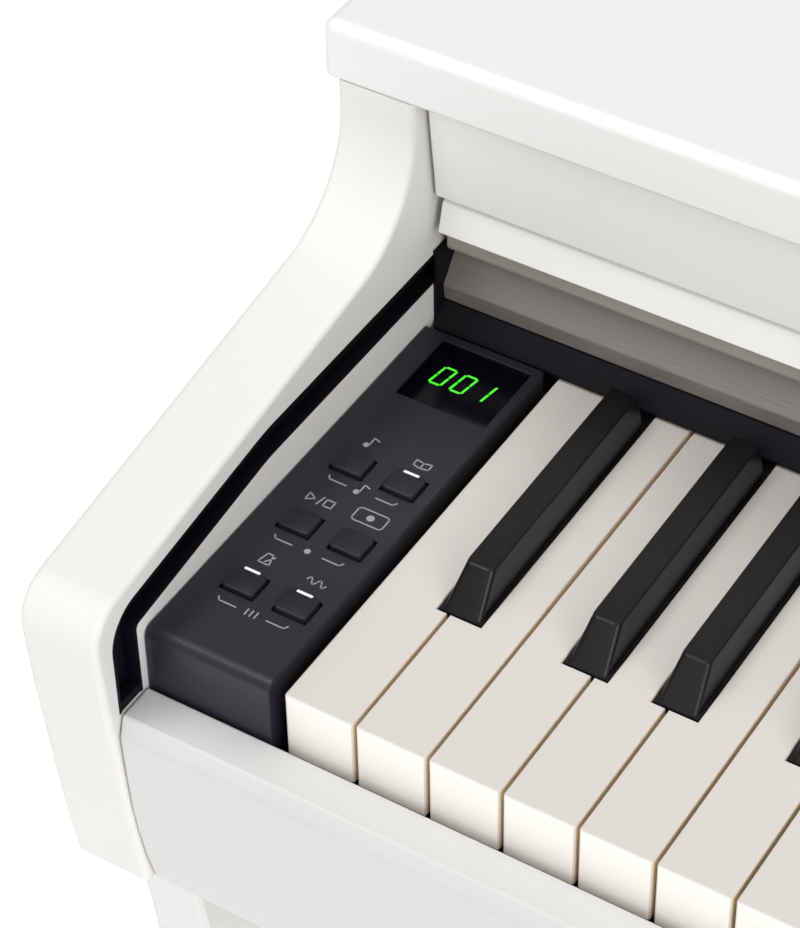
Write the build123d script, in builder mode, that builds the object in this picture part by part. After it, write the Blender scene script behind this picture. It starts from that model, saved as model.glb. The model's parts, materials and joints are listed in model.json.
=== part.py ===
"""Digital piano on a stand: 88-key keyboard, sliding key cover, music rest and three pedals.

Millimetres. X runs from bass to treble, Y from the player to the wall, Z is up.
The origin is on the floor, under the middle of the bounding box.
"""
import math
import os

from build123d import *

# ---- Keyboard ---------------------------------------------------------------
white_count = 52
key_pitch = 23.5  # width of one white key and its gap
key_gap = 1.1
key_body_length = 235.0  # white key from its front edge to its rear end
white_depth = 24.0
key_skin = 3.0  # top wall of a hollow key
key_wall = 2.0  # side wall of a hollow key
black_width = 12.5
black_top_width = 9.0
black_rise = 11.3  # raised cap above the white keys
black_depth = 20.0  # body below the white key tops
black_front = 51.5  # from the white keys' front edge
black_slope = 10.3  # run of the sloping front
black_back = 147.0  # rear end of the raised cap
black_clearance = 1.15  # between a black key and its white neighbours
heel_front = 205.0  # solid heel around the pivot
pivot_back = 222.0  # pivot behind the white keys' front edge
pivot_drop = 12.0  # pivot below the white key tops
pivot_radius = 2.5
pivot_clearance = 0.08
black_shift = {"A": 3.3, "C": -2.75, "D": 2.2, "F": -3.3, "G": 0.0}  # off the joint between whites

# ---- Case -------------------------------------------------------------------
key_height = 736.0  # white key tops above the floor
overall_depth = 405.0
left_zone = 45.0  # control panel's place beside the lowest key
right_zone = 31.0  # end block's place beside the highest key
arm_thickness = 26.5
top_overhang = 4.5
top_corner = 2.8  # radius of the top board's front corners
top_edge = 3.6
top_lower_edge = 1.5
top_rise = 92.0  # underside of the top board above the white key tops
top_thickness = 20.0
bed_drop = 97.5  # underside of the key bed below the white key tops
bed_thickness = 18.0
nose_reach = 24.5  # arm noses in front of the white keys
nose_radius = 14.0
nose_rise = 11.3  # centre of the nose's curve above the white key tops
arm_slope = 9.5  # degrees, fall of the arm's top edge to the nose
arm_undercut = 3.5  # degrees, lean of the edge just below the nose
arm_hollow_radius = 36.0
arm_edge_radius = 2.0
upright_back = 144.3  # front edge of the upright part of the arms
arm_belly_back = -20.0  # a place on the curved front edge of the arms
arm_belly_drop = 40.0
arm_foot_lean = 10.0  # degrees, lean of that edge at its foot
slip_shelf_drop = 18.4  # rear edge of the slip's top below the white key tops
arm_foot_back = -12.5  # lower front corner of the arms
panel_gap = 0.5  # between fixed panels that stand side by side
rear_thickness = 5.0
rear_inset = 2.0

# ---- Key cover and its guides ----------------------------------------------
guide_rise = 23.4  # level part of the guide above the white key tops
guide_width = 11.6
guide_depth = 6.0
guide_wall = 1.2
guide_bend_back = 62.0
guide_front_back = -11.5
guide_front_rise = 13.0
guide_bend_radius = 60.0
guide_corner_radius = 8.0
shaft_back = 350.0  # cover shaft behind the white keys' front edge, cover open
shaft_radius = 3.0
shaft_clearance = 0.05
roller_clearance = 0.3
cover_front_back = 152.7
cover_thickness = 11.0
cover_lean = 2.8  # fall of the cover's front face from the vertical
cover_lip_rise = 10.0  # height of that face
cover_lip_round = 2.4
cover_rise = 40.2  # underside of the cover above the white key tops
cover_side_gap = 2.8
grip_inset = 5.0  # grip strip behind the cover's front edge
grip_depth = 9.0
grip_drop = 11.2
bracket_half = 10.0

# ---- Stand ------------------------------------------------------------------
leg_thickness = 22.0
leg_front_back = 13.0  # front of the legs behind the white keys' front edge
leg_head_width = 62.0
leg_waist_width = 36.0
leg_head_length = 60.0
leg_straight = 28.0  # upright part of the leg below the key bed
side_panel_width = 165.0
foot_width = 29.0
foot_height = 40.0
glide_height = 5.0
glide_radius = 14.0
board_thickness = 15.0
cleat = 20.0
back_board_height = 330.0
back_board_drop = 40.0  # top of the back board below the key bed
pedal_board_height = 170.0
pedal_board_rise = 62.0  # underside of the pedal board above the floor
screw_radius = 3.0
screw_clearance = 0.3
screw_head_radius = 6.0
screw_head_height = 3.0

# ---- Pedals -----------------------------------------------------------------
pedal_pitch = 66.0
pedal_width = 22.0
pedal_thickness = 7.0
pedal_reach = 92.0  # pedal in front of its housing
pedal_rise = 66.0  # pedal pivot above the floor
pedal_rod_radius = 4.0
housing_width = 220.0
housing_depth = 100.0
housing_height = 74.0
housing_rise = 26.0
housing_wall = 3.0
bolt_radius = 5.0
bolt_clearance = 0.1
bolt_foot_radius = 18.0
bolt_foot_height = 10.0

# ---- Music rest -------------------------------------------------------------
rest_width = 640.0
rest_length = 186.0
rest_gap = 1.2
rest_thickness = 5.0
rest_lip = 5.8
rest_pin_radius = 1.5
rest_nose = 2.5  # of the music rest in front of its hinge line, so that it clears the top board
rest_front = 30.0  # behind the top board's front edge
stay_width = 30.0
stay_length = 84.0
stay_thickness = 3.4
stay_swing = 6.8  # room in front of the stay's pin, so that it can turn right over

# ---- Controls ---------------------------------------------------------------
panel_rise = 4.5  # panel top above the white key tops
panel_front_back = -3.0
panel_back = 149.0
panel_wall = 2.5
panel_edge_radius = 3.5
button_width = 11.0
button_length = 9.0
button_height = 1.6
button_gap = 0.35
button_flange = 1.2
display_front = 118.0
display_length = 28.0
display_width = 31.5
button_places = {  # (right of the arm side's zone, behind the white keys' front edge)
    "demo_button": (14.7, 84.2),
    "lesson_button": (32.6, 84.2),
    "play_button": (14.7, 55.6),
    "record_button": (32.6, 55.6),
    "metronome_button": (14.7, 26.7),
    "sound_button": (32.6, 26.7),
}

# ---- Places that follow -----------------------------------------------------
keys_width = white_count * key_pitch
case_width = keys_width + left_zone + right_zone
overall_width = case_width + 2 * (arm_thickness + top_overhang)
arm_outer = overall_width / 2 - top_overhang
arm_inner = arm_outer - arm_thickness
keys_left = -arm_inner + left_zone
keys_right = keys_left + keys_width
key_front = -overall_depth / 2 + nose_reach
case_back = overall_depth / 2
bed_under = key_height - bed_drop
bed_top = bed_under + bed_thickness
top_under = key_height + top_rise
top_face = top_under + top_thickness
rear_inner = case_back - rear_inset - rear_thickness


def ky(distance):
    """A place this far behind the white keys' front edge."""
    return key_front + distance


def kz(height):
    """A height above the white key tops."""
    return key_height + height


def block(x, y, z, mode=Mode.ADD):
    """A box between two values on each axis, in the part being built."""
    centre = ((x[0] + x[1]) / 2, (y[0] + y[1]) / 2, (z[0] + z[1]) / 2)
    with Locations(centre):
        Box(abs(x[1] - x[0]), abs(y[1] - y[0]), abs(z[1] - z[0]), mode=mode)


def rod(centre, radius, length, axis, mode=Mode.ADD):
    """A round bar, or a hole, centred on a point and lying along an axis."""
    turn = {"x": (0, 90, 0), "y": (90, 0, 0), "z": (0, 0, 0)}[axis]
    with Locations(Location(centre, turn)):
        Cylinder(radius, length, mode=mode)


def save(piece, name):
    """Label a finished piece and write its file."""
    piece.label = name
    export_step(piece, f"parts/{name}.step")


def mirrored(piece):
    """The same piece for the other end of the instrument."""
    return piece.mirror(Plane.YZ)


os.makedirs("parts", exist_ok=True)

# ---- Keys -------------------------------------------------------------------
black_places = []  # (name, white key on its left, centre)
for left in range(white_count - 1):
    letter = "ABCDEFG"[left % 7]
    if letter in black_shift:
        centre_x = keys_left + (left + 1) * key_pitch + black_shift[letter]
        black_places.append((letter, left, centre_x))
cut_width = black_width + 2 * black_clearance
cut_front = black_front - black_clearance


def white_keys(numbers):
    """White keys by their number from the left: shells open below, with a solid heel."""
    with BuildPart() as keys:
        with BuildSketch(Plane.XY.offset(key_height)) as outline:
            for number in numbers:
                x = keys_left + (number + 0.5) * key_pitch
                with Locations((x, ky(key_body_length / 2))):
                    Rectangle(key_pitch - key_gap, key_body_length)
            for _, left_key, centre in black_places:
                if left_key in numbers or left_key + 1 in numbers:
                    with Locations((centre, ky((cut_front + key_body_length) / 2))):
                        Rectangle(cut_width, key_body_length - cut_front, mode=Mode.SUBTRACT)
        extrude(amount=-white_depth)
        with BuildSketch(Plane.XY.offset(key_height - white_depth)):
            add(outline.sketch)
            offset(amount=-key_wall, kind=Kind.INTERSECTION, mode=Mode.REPLACE)
            with Locations((0, ky(heel_front + key_body_length / 2))):
                Rectangle(overall_width, key_body_length, mode=Mode.SUBTRACT)
        extrude(amount=white_depth - key_skin, mode=Mode.SUBTRACT)
        rod(
            ((keys_left + keys_right) / 2, ky(pivot_back), kz(-pivot_drop)),
            pivot_radius + pivot_clearance,
            keys_width + key_pitch,
            "x",
            mode=Mode.SUBTRACT,
        )
    return keys.part


def black_keys(centres):
    """Black keys by their centres: a sloped, tapered cap on a hollow body."""
    with BuildPart() as keys:
        for centre in centres:
            sides = (centre - black_width / 2, centre + black_width / 2)
            inner = (sides[0] + key_wall, sides[1] - key_wall)
            block(sides, (ky(black_front), ky(key_body_length)), (kz(-black_depth), kz(0)))
            with BuildSketch(Plane.XY.offset(key_height)):
                with Locations((centre, ky((black_front + black_back) / 2))):
                    Rectangle(black_width, black_back - black_front)
            with BuildSketch(Plane.XY.offset(kz(black_rise))):
                with Locations((centre, ky((black_front + black_slope + black_back) / 2))):
                    Rectangle(black_top_width, black_back - black_front - black_slope)
            loft()
            block(
                inner,
                (ky(black_front + key_wall), ky(heel_front)),
                (kz(-black_depth), kz(-key_skin)),
                mode=Mode.SUBTRACT,
            )
        rod(
            ((keys_left + keys_right) / 2, ky(pivot_back), kz(-pivot_drop)),
            pivot_radius + pivot_clearance,
            keys_width + key_pitch,
            "x",
            mode=Mode.SUBTRACT,
        )
    return keys.part


single_whites = {"a0": 0, "b0": 1, "c1": 2, "d1": 3, "e1": 4, "f1": 5, "g1": 6}
single_blacks = {"a_sharp_0": 0, "c_sharp_1": 1, "d_sharp_1": 2, "f_sharp_1": 3}
for note, number in single_whites.items():
    save(white_keys([number]), f"white_key_{note}")
for note, number in single_blacks.items():
    save(black_keys([black_places[number][2]]), f"black_key_{note}")
save(white_keys(range(len(single_whites), white_count)), "white_keys_upper")
upper_blacks = [centre for _, _, centre in black_places[len(single_blacks) :]]
save(black_keys(upper_blacks), "black_keys_upper")

# ---- Key chassis: base plate, stop rail, rear wall, cheeks and pivot rod ----
chassis_plate = 3.0
cheek_gap = 3.0
cheek_width = 5.0
stop_gap = 12.5  # free fall under the keys' fronts
chassis_sides = (keys_left - cheek_gap - cheek_width, keys_right + cheek_gap + cheek_width)
rear_wall = (ky(key_body_length + 4), ky(key_body_length + 9))
with BuildPart() as key_chassis:
    block((keys_left, keys_right), (ky(12), rear_wall[1]), (bed_top, bed_top + chassis_plate))
    block(chassis_sides, (ky(pivot_back - 8), rear_wall[1]), (bed_top, bed_top + chassis_plate))
    block(
        (keys_left, keys_right),
        (ky(14), ky(30)),
        (bed_top, kz(-white_depth - stop_gap)),
    )
    block(chassis_sides, rear_wall, (bed_top, kz(-pivot_drop + 6)))
    for side in (0, 1):
        outer = chassis_sides[side]
        inner = outer + cheek_width * (1 - 2 * side)
        block((outer, inner), (ky(pivot_back - 8), rear_wall[1]), (bed_top, kz(-pivot_drop + 8)))
    rod(
        ((keys_left + keys_right) / 2, ky(pivot_back), kz(-pivot_drop)),
        pivot_radius,
        keys_width + 2 * cheek_gap + cheek_width,
        "x",
    )
save(key_chassis.part, "key_chassis")

# ---- Arms: shaped end boards with a guide groove on the inner face ----------
nose_centre = (ky(nose_radius - nose_reach), kz(nose_rise))
hollow_turn = math.radians(90 - arm_slope)
hollow_tangent = arm_hollow_radius * math.tan(hollow_turn / 2)
slope = math.radians(arm_slope)


def guide_path():
    """Points of the cover guide's centre line, from the back to the key slip."""
    return [
        (ky(shaft_back + bracket_half + 6), kz(guide_rise)),
        (ky(guide_bend_back), kz(guide_rise)),
        (ky(guide_front_back), kz(guide_front_rise)),
        (ky(guide_front_back + 0.3), kz(-slip_shelf_drop)),
    ]


with BuildPart() as left_arm:
    with BuildSketch(Plane.YZ.offset(-arm_outer)):
        with BuildLine():
            nose = CenterArc(nose_centre, nose_radius, 90 + arm_slope, 90 - arm_slope + arm_undercut)
            top_edge_y = ky(upright_back)
            corner_z = (nose @ 0).Y + (top_edge_y - (nose @ 0).X) * math.tan(slope)
            hollow_low = (
                top_edge_y - hollow_tangent * math.cos(slope),
                corner_z - hollow_tangent * math.sin(slope),
            )
            Line(nose @ 0, hollow_low)
            hollow = TangentArc(
                hollow_low,
                (top_edge_y, corner_z + hollow_tangent),
                tangent=(math.cos(slope), math.sin(slope)),
            )
            Polyline(hollow @ 1, (top_edge_y, top_under), (case_back, top_under), (case_back, bed_under))
            belly = Spline(
                nose @ 1,
                (ky(arm_belly_back), kz(-arm_belly_drop)),
                (ky(arm_foot_back), bed_under),
                tangents=[
                    (math.tan(math.radians(arm_undercut)), -1),
                    (math.tan(math.radians(arm_foot_lean)), -1),
                ],
            )
            Line(belly @ 1, (case_back, bed_under))
        make_face()
    extrude(amount=arm_thickness)
    face_edges = left_arm.edges().filter_by(Axis.X, reverse=True)
    front_edges = face_edges.filter_by_position(Axis.Y, -overall_depth, ky(upright_back) + 0.5)
    fillet(front_edges, radius=arm_edge_radius)
    with BuildSketch(Plane.YZ.offset(-arm_inner - guide_depth)):
        with BuildLine():
            FilletPolyline(guide_path(), radius=[guide_bend_radius, guide_corner_radius])
        trace(line_width=guide_width)
    extrude(amount=guide_depth, mode=Mode.SUBTRACT)
save(left_arm.part, "left_arm")
save(mirrored(left_arm.part), "right_arm")

with BuildPart() as left_guide:
    with BuildSketch(Plane.YZ.offset(-arm_inner - guide_depth)):
        with BuildLine():
            FilletPolyline(guide_path(), radius=[guide_bend_radius, guide_corner_radius])
        trace(line_width=guide_width)
    extrude(amount=guide_depth)
    with BuildSketch(Plane.YZ.offset(-arm_inner - guide_depth + guide_wall)):
        with BuildLine():
            FilletPolyline(guide_path(), radius=[guide_bend_radius, guide_corner_radius])
        trace(line_width=guide_width - 2 * guide_wall)
    extrude(amount=guide_depth, mode=Mode.SUBTRACT)
with BuildPart() as cover_guides:
    add(left_guide.part)
    add(mirrored(left_guide.part))
save(cover_guides.part, "cover_guides")

# ---- Key slip: the shaped rail in front of the keys -------------------------
slip_back = -3.6
with BuildPart() as key_slip:
    with BuildSketch(Plane.YZ.offset(-arm_inner + panel_gap)):
        with BuildLine():
            Polyline(
                (ky(-17.9), kz(-44)),
                (ky(-18.8), kz(-26)),
                (ky(-16.6), kz(-slip_shelf_drop)),
                (ky(slip_back), kz(-slip_shelf_drop)),
                (ky(slip_back), bed_under),
                (ky(-9.5), bed_under),
            )
            ThreePointArc((ky(-9.5), bed_under), (ky(-15.6), kz(-68)), (ky(-17.9), kz(-44)))
        make_face()
    extrude(amount=2 * (arm_inner - panel_gap))
    fillet(key_slip.edges().filter_by(Axis.X).group_by(Axis.Z)[-1], radius=1.2)
save(key_slip.part, "key_slip")

# ---- Key bed, rear panel and top board --------------------------------------
speaker_radius = 52.0
speaker_hole = 46.0
speaker_spread = 430.0
speaker_y = rear_inner - speaker_radius - 22
with BuildPart() as keybed:
    block((-arm_inner, arm_inner), (ky(slip_back), rear_inner), (bed_under, bed_top))
    with Locations((-speaker_spread, speaker_y, bed_under), (speaker_spread, speaker_y, bed_under)):
        Cylinder(speaker_hole, 3 * bed_thickness, mode=Mode.SUBTRACT)
save(keybed.part, "keybed")

socket_plate_x = -230.0
socket_plate_width = 120.0
socket_plate_height = 34.0
socket_plate_z = bed_top + 40
with BuildPart() as rear_panel:
    block((-arm_inner, arm_inner), (rear_inner, rear_inner + rear_thickness), (bed_under, top_under))
    block(
        (socket_plate_x - socket_plate_width / 2, socket_plate_x + socket_plate_width / 2),
        (rear_inner - 1, case_back),
        (socket_plate_z - socket_plate_height / 2, socket_plate_z + socket_plate_height / 2),
        mode=Mode.SUBTRACT,
    )
save(rear_panel.part, "rear_panel")

with BuildPart() as connector_plate:
    plate_front = rear_inner + rear_thickness - 2
    block(
        (
            socket_plate_x - socket_plate_width / 2 + panel_gap,
            socket_plate_x + socket_plate_width / 2 - panel_gap,
        ),
        (plate_front, plate_front + 2),
        (
            socket_plate_z - socket_plate_height / 2 + panel_gap,
            socket_plate_z + socket_plate_height / 2 - panel_gap,
        ),
    )
    block(
        (socket_plate_x - 42, socket_plate_x - 30),
        (plate_front - 1, case_back),
        (socket_plate_z - 5.5, socket_plate_z + 5.5),
        mode=Mode.SUBTRACT,
    )
    for offset_x, radius in ((-4.0, 7.0), (38.0, 2.8)):
        centre = (socket_plate_x + offset_x, plate_front, socket_plate_z)
        rod((centre[0], plate_front - 5, centre[2]), radius + 1.5, 12, "y")
        rod((centre[0], plate_front - 4, centre[2]), radius, 20, "y", mode=Mode.SUBTRACT)
        rod((centre[0], plate_front - 10, centre[2]), radius + 1.5, 2, "y")
save(connector_plate.part, "connector_plate")

top_front = ky(upright_back) - 0.3
with BuildPart() as top_board:
    block((-overall_width / 2, overall_width / 2), (top_front, case_back), (top_under, top_face))
    fillet(top_board.edges().filter_by(Axis.Z).group_by(Axis.Y)[0], radius=top_corner)
    fillet(top_board.faces().sort_by(Axis.Z)[-1].edges(), radius=top_edge)
    fillet(top_board.faces().sort_by(Axis.Z)[0].edges().group_by(Axis.Y)[0], radius=top_lower_edge)
save(top_board.part, "top_board")

# ---- Upper front panel, nameboard and the dark rail behind the keys ---------
front_sides = arm_inner - 1.3
panel_thickness = 12.0
panel_low = kz(53.0)
panel_top_back = 149.4
panel_low_back = 153.6
with BuildPart() as upper_front_panel:
    with BuildSketch(Plane.YZ.offset(-front_sides)):
        with BuildLine():
            Polyline(
                (ky(panel_top_back), top_under),
                (ky(panel_low_back), panel_low),
                (ky(panel_low_back + panel_thickness), panel_low),
                (ky(panel_top_back + panel_thickness), top_under),
                close=True,
            )
        make_face()
    extrude(amount=2 * front_sides)
    fillet(upper_front_panel.edges().filter_by(Axis.X).sort_by(Axis.Z)[0], radius=1)
save(upper_front_panel.part, "upper_front_panel")

nameboard_back = 172.0
with BuildPart() as nameboard:
    with BuildSketch(Plane.YZ.offset(-front_sides)):
        with BuildLine():
            Polyline(
                (ky(164.7), kz(24.6)),
                (ky(157.7), kz(15.3)),
                (ky(158.3), kz(9.3)),
                (ky(nameboard_back), kz(9.3)),
                (ky(nameboard_back), kz(24.6)),
                close=True,
            )
        make_face()
    extrude(amount=2 * front_sides)
save(nameboard.part, "nameboard")

with BuildPart() as key_back_rail:
    with BuildSketch(Plane.YZ.offset(-front_sides)):
        with BuildLine():
            Polyline(
                (ky(157.6), kz(9.3)),
                (ky(152), kz(2.2)),
                (ky(152), kz(1.2)),
                (ky(nameboard_back), kz(1.2)),
                (ky(nameboard_back), kz(9.3)),
                close=True,
            )
        make_face()
    extrude(amount=2 * front_sides)
save(key_back_rail.part, "key_back_rail")

# ---- Key cover: shaft in the guides, board on brackets, grip strip ----------
shaft_z = kz(guide_rise)
roller_radius = guide_width / 2 - guide_wall - roller_clearance
shaft_end = arm_inner + guide_depth - guide_wall - roller_clearance
with BuildPart() as cover_shaft:
    rod((0, ky(shaft_back), shaft_z), shaft_radius, 2 * (arm_inner - 1), "x")
    for side in (-1, 1):
        middle = side * (shaft_end + arm_inner - 1.5) / 2
        rod((middle, ky(shaft_back), shaft_z), roller_radius, shaft_end - arm_inner + 1.5, "x")
save(cover_shaft.part, "cover_shaft")

cover_half = arm_inner - cover_side_gap
with BuildPart() as key_cover:
    with BuildSketch(Plane.YZ.offset(-cover_half)):
        with BuildLine():
            Polyline(
                (ky(cover_front_back), kz(cover_rise)),
                (ky(cover_front_back + cover_lean), kz(cover_rise + cover_lip_rise)),
                (ky(cover_front_back + cover_lean + cover_lip_round), kz(cover_rise + cover_thickness)),
                (ky(shaft_back + bracket_half), kz(cover_rise + cover_thickness)),
                (ky(shaft_back + bracket_half), kz(cover_rise)),
                close=True,
            )
        make_face()
    extrude(amount=2 * cover_half)
    for side in (-1, 1):
        block(
            (side * (cover_half - 8), side * cover_half),
            (ky(shaft_back - bracket_half), ky(shaft_back + bracket_half)),
            (shaft_z - 6.5, kz(cover_rise)),
        )
    rod((0, ky(shaft_back), shaft_z), shaft_radius + shaft_clearance, 3 * arm_inner, "x", Mode.SUBTRACT)
save(key_cover.part, "key_cover")

with BuildPart() as cover_grip:
    block(
        (-cover_half, cover_half),
        (ky(cover_front_back + grip_inset), ky(cover_front_back + grip_inset + grip_depth)),
        (kz(cover_rise - grip_drop), kz(cover_rise)),
    )
    fillet(cover_grip.edges().filter_by(Axis.X).group_by(Axis.Z)[0], radius=3)
save(cover_grip.part, "cover_grip")

# ---- Control panel, its buttons and display ---------------------------------
panel_left = -arm_inner + panel_gap
panel_right = keys_left - 2.5
panel_top = kz(panel_rise)
display_right = panel_right - panel_wall
with BuildPart() as control_panel:
    block((panel_left, panel_right), (ky(panel_front_back), ky(panel_back)), (bed_top, panel_top))
    fillet(control_panel.faces().sort_by(Axis.Z)[-1].edges().group_by(Axis.Y)[0], panel_edge_radius)
    block(
        (panel_left + panel_wall, panel_right - panel_wall),
        (ky(panel_front_back) + panel_wall, ky(panel_back) - panel_wall),
        (bed_top, panel_top - panel_wall),
        mode=Mode.SUBTRACT,
    )
    for place_x, place_y in button_places.values():
        block(
            (
                -arm_inner + place_x - button_width / 2 - button_gap,
                -arm_inner + place_x + button_width / 2 + button_gap,
            ),
            (
                ky(place_y - button_length / 2 - button_gap),
                ky(place_y + button_length / 2 + button_gap),
            ),
            (panel_top - 2 * panel_wall, panel_top + 1),
            mode=Mode.SUBTRACT,
        )
    block(
        (display_right - display_width, display_right),
        (ky(display_front), ky(display_front + display_length)),
        (panel_top - panel_wall + 0.8, panel_top + 1),
        mode=Mode.SUBTRACT,
    )
save(control_panel.part, "control_panel")

with BuildPart() as display_window:
    block(
        (display_right - display_width + 0.2, display_right - 0.2),
        (ky(display_front + 0.2), ky(display_front + display_length - 0.2)),
        (panel_top - panel_wall + 0.8, panel_top - 0.3),
    )
save(display_window.part, "display_window")


def button(centre_x, centre_y, plate_top, plate_wall):
    """A push button held under its plate by a flange, standing proud of the plate."""
    travel_room = 0.2
    with BuildPart() as cap:
        block(
            (centre_x - button_width / 2, centre_x + button_width / 2),
            (centre_y - button_length / 2, centre_y + button_length / 2),
            (plate_top - plate_wall - button_flange, plate_top + button_height),
        )
        fillet(cap.edges().filter_by(Axis.Z), radius=1.5)
        fillet(cap.faces().sort_by(Axis.Z)[-1].edges(), radius=0.5)
        block(
            (centre_x - button_width / 2 - 1.2, centre_x + button_width / 2 + 1.2),
            (centre_y - button_length / 2 - 1.2, centre_y + button_length / 2 + 1.2),
            (plate_top - plate_wall - travel_room - button_flange, plate_top - plate_wall - travel_room),
        )
    return cap.part


for name, (place_x, place_y) in button_places.items():
    save(button(-arm_inner + place_x, ky(place_y), panel_top, panel_wall), name)

# ---- Right end block with the power button and the volume slider ------------
block_left = keys_right + 2.5
block_right = arm_inner - panel_gap
block_middle = (block_left + block_right) / 2
power_y = ky(112)
slider_y = ky(52)
slider_travel = 40.0
slot_width = 3.0
knob_width = 10.0
knob_length = 8.0
with BuildPart() as right_key_block:
    block((block_left, block_right), (ky(panel_front_back), ky(panel_back)), (bed_top, panel_top))
    fillet(right_key_block.faces().sort_by(Axis.Z)[-1].edges().group_by(Axis.Y)[0], panel_edge_radius)
    block(
        (block_left + panel_wall, block_right - panel_wall),
        (ky(panel_front_back) + panel_wall, ky(panel_back) - panel_wall),
        (bed_top, panel_top - panel_wall),
        mode=Mode.SUBTRACT,
    )
    block(
        (
            block_middle - button_width / 2 - button_gap,
            block_middle + button_width / 2 + button_gap,
        ),
        (power_y - button_length / 2 - button_gap, power_y + button_length / 2 + button_gap),
        (panel_top - 2 * panel_wall, panel_top + 1),
        mode=Mode.SUBTRACT,
    )
    block(
        (block_middle - slot_width / 2, block_middle + slot_width / 2),
        (slider_y - slider_travel / 2 - 4, slider_y + slider_travel / 2 + 4),
        (panel_top - 2 * panel_wall, panel_top + 1),
        mode=Mode.SUBTRACT,
    )
save(right_key_block.part, "right_key_block")
save(button(block_middle, power_y, panel_top, panel_wall), "power_button")

with BuildPart() as volume_slider:
    block(
        (block_middle - slot_width / 2 + button_gap, block_middle + slot_width / 2 - button_gap),
        (slider_y - 3, slider_y + 3),
        (panel_top - panel_wall - 6, panel_top + 1),
    )
    block(
        (block_middle - knob_width / 2, block_middle + knob_width / 2),
        (slider_y - knob_length / 2, slider_y + knob_length / 2),
        (panel_top + 0.5, panel_top + 6),
    )
    fillet(volume_slider.faces().sort_by(Axis.Z)[-1].edges(), radius=1)
save(volume_slider.part, "volume_slider")

# ---- Electronics and speakers ------------------------------------------------
pcb = 1.6
with BuildPart() as circuit_boards:
    block((panel_left + 4, panel_right - 4), (ky(6), ky(110)), (kz(-14), kz(-14) + pcb))
    block((panel_left + 14, panel_left + 22), (ky(50), ky(58)), (bed_top, kz(-14)))
    board_back = rear_inner - 12
    block((-300, -60), (board_back - 66, board_back), (bed_top + 8, bed_top + 8 + pcb))
    block((60, 240), (board_back - 66, board_back), (bed_top + 8, bed_top + 8 + pcb))
    for chip_x in (-260, -190, -110, 90, 150, 210):
        block((chip_x, chip_x + 24), (board_back - 50, board_back - 20), (bed_top + 8, bed_top + 16))
    for post_x in (-296, -70, 64, 230):
        block((post_x, post_x + 6), (board_back - 60, board_back - 8), (bed_top, bed_top + 8))
save(circuit_boards.part, "circuit_boards")

with BuildPart() as speakers:
    for side in (-1, 1):
        with Locations((side * speaker_spread, speaker_y, 0)):
            with Locations((0, 0, bed_top + 2)):
                Cylinder(speaker_radius, 4)
            with Locations((0, 0, bed_top + 16)):
                Cone(speaker_radius - 8, 28, 24)
            with Locations((0, 0, bed_top + 33)):
                Cylinder(30, 14)
save(speakers.part, "speakers")

grille_half = speaker_hole + 8
grille_thickness = 2.0
with BuildPart() as speaker_grilles:
    for side in (-1, 1):
        centre_x = side * speaker_spread
        block(
            (centre_x - grille_half, centre_x + grille_half),
            (speaker_y - grille_half, speaker_y + grille_half),
            (bed_under - grille_thickness, bed_under),
        )
        with Locations((centre_x, speaker_y, bed_under)):
            with GridLocations(0.01, 8, 1, 11):
                Box(2 * speaker_hole - 10, 3.2, 3 * grille_thickness, mode=Mode.SUBTRACT)
save(speaker_grilles.part, "speaker_grilles")

# ---- Headphone jack box and hook under the key bed ---------------------------
jack_x = -arm_inner + 75
jack_front = ky(14)
jack_radius = 3.3
jack_depth = 30.0
with BuildPart() as jack_box:
    block((jack_x - 34, jack_x + 34), (jack_front, jack_front + 58), (bed_under - 30, bed_under))
    fillet(jack_box.edges().filter_by(Axis.Y), radius=2)
    for offset_x in (-15, 15):
        rod(
            (jack_x + offset_x, jack_front + jack_depth / 2 - 1, bed_under - 16),
            jack_radius,
            jack_depth + 2,
            "y",
            mode=Mode.SUBTRACT,
        )
save(jack_box.part, "jack_box")

hook_x = jack_x + 62
with BuildPart() as headphone_hook:
    block((hook_x - 10, hook_x + 10), (jack_front, jack_front + 40), (bed_under - 3, bed_under))
    block((hook_x - 10, hook_x + 10), (jack_front + 37, jack_front + 40), (bed_under - 38, bed_under))
    block((hook_x - 10, hook_x + 10), (jack_front, jack_front + 40), (bed_under - 38, bed_under - 35))
    block((hook_x - 10, hook_x + 10), (jack_front, jack_front + 3), (bed_under - 38, bed_under - 27))
save(headphone_hook.part, "headphone_hook")

# ---- Stand: front legs, side panels, feet and glides --------------------------
foot_top = glide_height + foot_height
leg_outer = arm_outer
leg_inner = leg_outer - leg_thickness
leg_front = ky(leg_front_back)
waist_front = leg_front + (leg_head_width - leg_waist_width) / 2
with BuildPart() as left_leg:
    with BuildSketch(Plane.YZ.offset(-leg_outer)):
        with BuildLine():
            head_low = bed_under - leg_head_length
            foot_high = foot_top + leg_head_length
            head_start = bed_under - leg_straight
            Line((leg_front, bed_under), (leg_front, head_start))
            upper = Spline(
                (leg_front, head_start),
                (leg_front + 5, head_start - 26),
                (waist_front, head_low - 110),
                tangents=[(0.25, -1), (0, -1)],
            )
            lower = Spline(
                (waist_front, foot_high + 60),
                (leg_front, foot_top),
                tangents=[(0, -1), (-0.45, -1)],
            )
            Line(upper @ 1, lower @ 0)
            back_y = waist_front + leg_waist_width
            Line(lower @ 1, (leg_front + leg_head_width, foot_top))
            back_lower = Spline(
                (leg_front + leg_head_width, foot_top),
                (back_y, foot_high + 60),
                tangents=[(-0.45, 1), (0, 1)],
            )
            back_upper = Spline(
                (back_y, head_low - 110),
                (leg_front + leg_head_width, head_start),
                tangents=[(0, 1), (0, 1)],
            )
            Line(back_lower @ 1, back_upper @ 0)
            Polyline(back_upper @ 1, (leg_front + leg_head_width, bed_under), (leg_front, bed_under))
        make_face()
    extrude(amount=leg_thickness)
with BuildPart() as front_legs:
    add(left_leg.part)
    add(mirrored(left_leg.part))
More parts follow.
